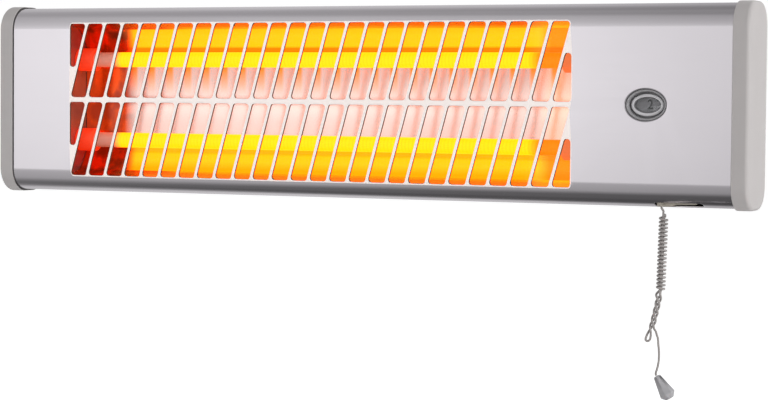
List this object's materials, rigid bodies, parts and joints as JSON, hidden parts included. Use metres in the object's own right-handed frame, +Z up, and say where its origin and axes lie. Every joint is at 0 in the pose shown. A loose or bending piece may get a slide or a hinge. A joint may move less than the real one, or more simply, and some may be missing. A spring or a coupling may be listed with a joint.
{
  "type": "electric bar heater",
  "caption": "Slim wall-mounted quartz bar heater with a slanted-slot grille, tilting bracket, pull-cord switch and a round dial behind an oval window.",
  "frame": {"origin": "centre of the wall bracket's rear face, on the wall", "axes": "+X along the heater to the right as seen from the room, +Y into the wall, +Z up; the grille faces -Y"},
  "size_m": [0.5142, 0.0852, 0.2373],
  "materials": {
    "satin_shell": "satin silver sheet, rolled edges at the slots",
    "back_paint": "light grey paint, satin",
    "zinc_steel": "zinc plated",
    "cap_plastic": "warm grey moulded plastic, fine texture",
    "reflector": "polished sheet",
    "quartz": "clear quartz, faintly milky",
    "glow": "resistance wire, glowing yellow",
    "ceramic": "unglazed steatite",
    "bezel_plastic": "grey moulded plastic",
    "clear_lens": "clear plastic window",
    "switch_plastic": "cream heat resistant plastic",
    "dial_plastic": "grey plastic with dark printed numbers",
    "lever_plastic": "grey beige moulded plastic",
    "mica": "pressed mica board",
    "wire": "heat resistant sleeve",
    "brass": "turned brass",
    "cord": "grey beige twisted cord",
    "knob_plastic": "grey moulded plastic"
  },
  "bodies": {
    "wall_mount": {"wall_bracket": "zinc_steel", "pivot_bolt_right": "zinc_steel", "pivot_bolt_left": "zinc_steel", "pivot_nut_right": "zinc_steel", "pivot_nut_left": "zinc_steel"},
    "housing": {"front_shell": "satin_shell", "back_plate": "back_paint", "back_screw_1": "zinc_steel", "back_screw_2": "zinc_steel", "back_screw_3": "zinc_steel", "back_screw_4": "zinc_steel", "back_screw_5": "zinc_steel", "back_screw_6": "zinc_steel", "switch_screw_1": "zinc_steel", "switch_screw_2": "zinc_steel", "housing_ear_right": "zinc_steel", "housing_ear_left": "zinc_steel", "ear_rivet_right_1": "zinc_steel", "ear_rivet_right_2": "zinc_steel", "ear_rivet_left_1": "zinc_steel", "ear_rivet_left_2": "zinc_steel", "end_cap_right": "cap_plastic", "end_cap_left": "cap_plastic", "reflector": "reflector", "reflector_end_left": "reflector", "reflector_end_right": "reflector", "quartz_tube_upper": "quartz", "heating_coil_upper": "glow", "ceramic_upper_left": "ceramic", "terminal_pin_upper_left": "zinc_steel", "ceramic_upper_right": "ceramic", "terminal_pin_upper_right": "zinc_steel", "quartz_tube_lower": "quartz", "heating_coil_lower": "glow", "ceramic_lower_left": "ceramic", "terminal_pin_lower_left": "zinc_steel", "ceramic_lower_right": "ceramic", "terminal_pin_lower_right": "zinc_steel", "window_bezel": "bezel_plastic", "window_lens": "clear_lens", "switch_body": "switch_plastic", "return_spring": "zinc_steel", "terminal_block": "switch_plastic", "thermal_cutout": "mica", "heat_shield": "mica", "cable_gland": "bezel_plastic", "wire_upper_left": "wire", "wire_lower_left": "wire", "wire_upper_right": "wire", "wire_lower_right": "wire", "wire_feed": "wire"},
    "dial": {"indicator_dial": "dial_plastic"},
    "lever": {"switch_lever": "lever_plastic"},
    "ball": {"cord_ball": "brass"},
    "cord": {"cord_drop": "cord", "cord_winding": "cord", "cord_tail": "cord", "pull_knob": "knob_plastic"}
  },
  "joints": [
    {"name": "tilt", "type": "hinge", "parent": "wall_mount", "child": "housing", "pos_m": [0, -0.036, 0], "axis": [1, 0, 0], "range_deg": [0, 30]},
    {"name": "dial_turn", "type": "hinge", "parent": "housing", "child": "dial", "pos_m": [0.1943, -0.0752, -0.011], "axis": [0, 1, 0], "continuous": true},
    {"name": "lever_pull", "type": "hinge", "parent": "housing", "child": "lever", "pos_m": [0.226, -0.0745, -0.0488], "axis": [0, -1, 0], "range_deg": [0, 14], "stiffness_Nm_per_rad": 0.18, "springref_deg": -12.61},
    {"name": "ball_level", "type": "hinge", "parent": "lever", "child": "ball", "pos_m": [0.202, -0.0745, -0.0588], "axis": [0, -1, 0], "range_deg": [-14, 0]},
    {"name": "cord_hang", "type": "hinge", "parent": "ball", "child": "cord", "pos_m": [0.202, -0.0745, -0.0588], "axis": [1, 0, 0], "range_deg": [-30, 0]}
  ],
  "couplings": [
    {"joint": "ball_level", "follows": "lever_pull", "ratio": -1},
    {"joint": "cord_hang", "follows": "tilt", "ratio": -1}
  ]
}
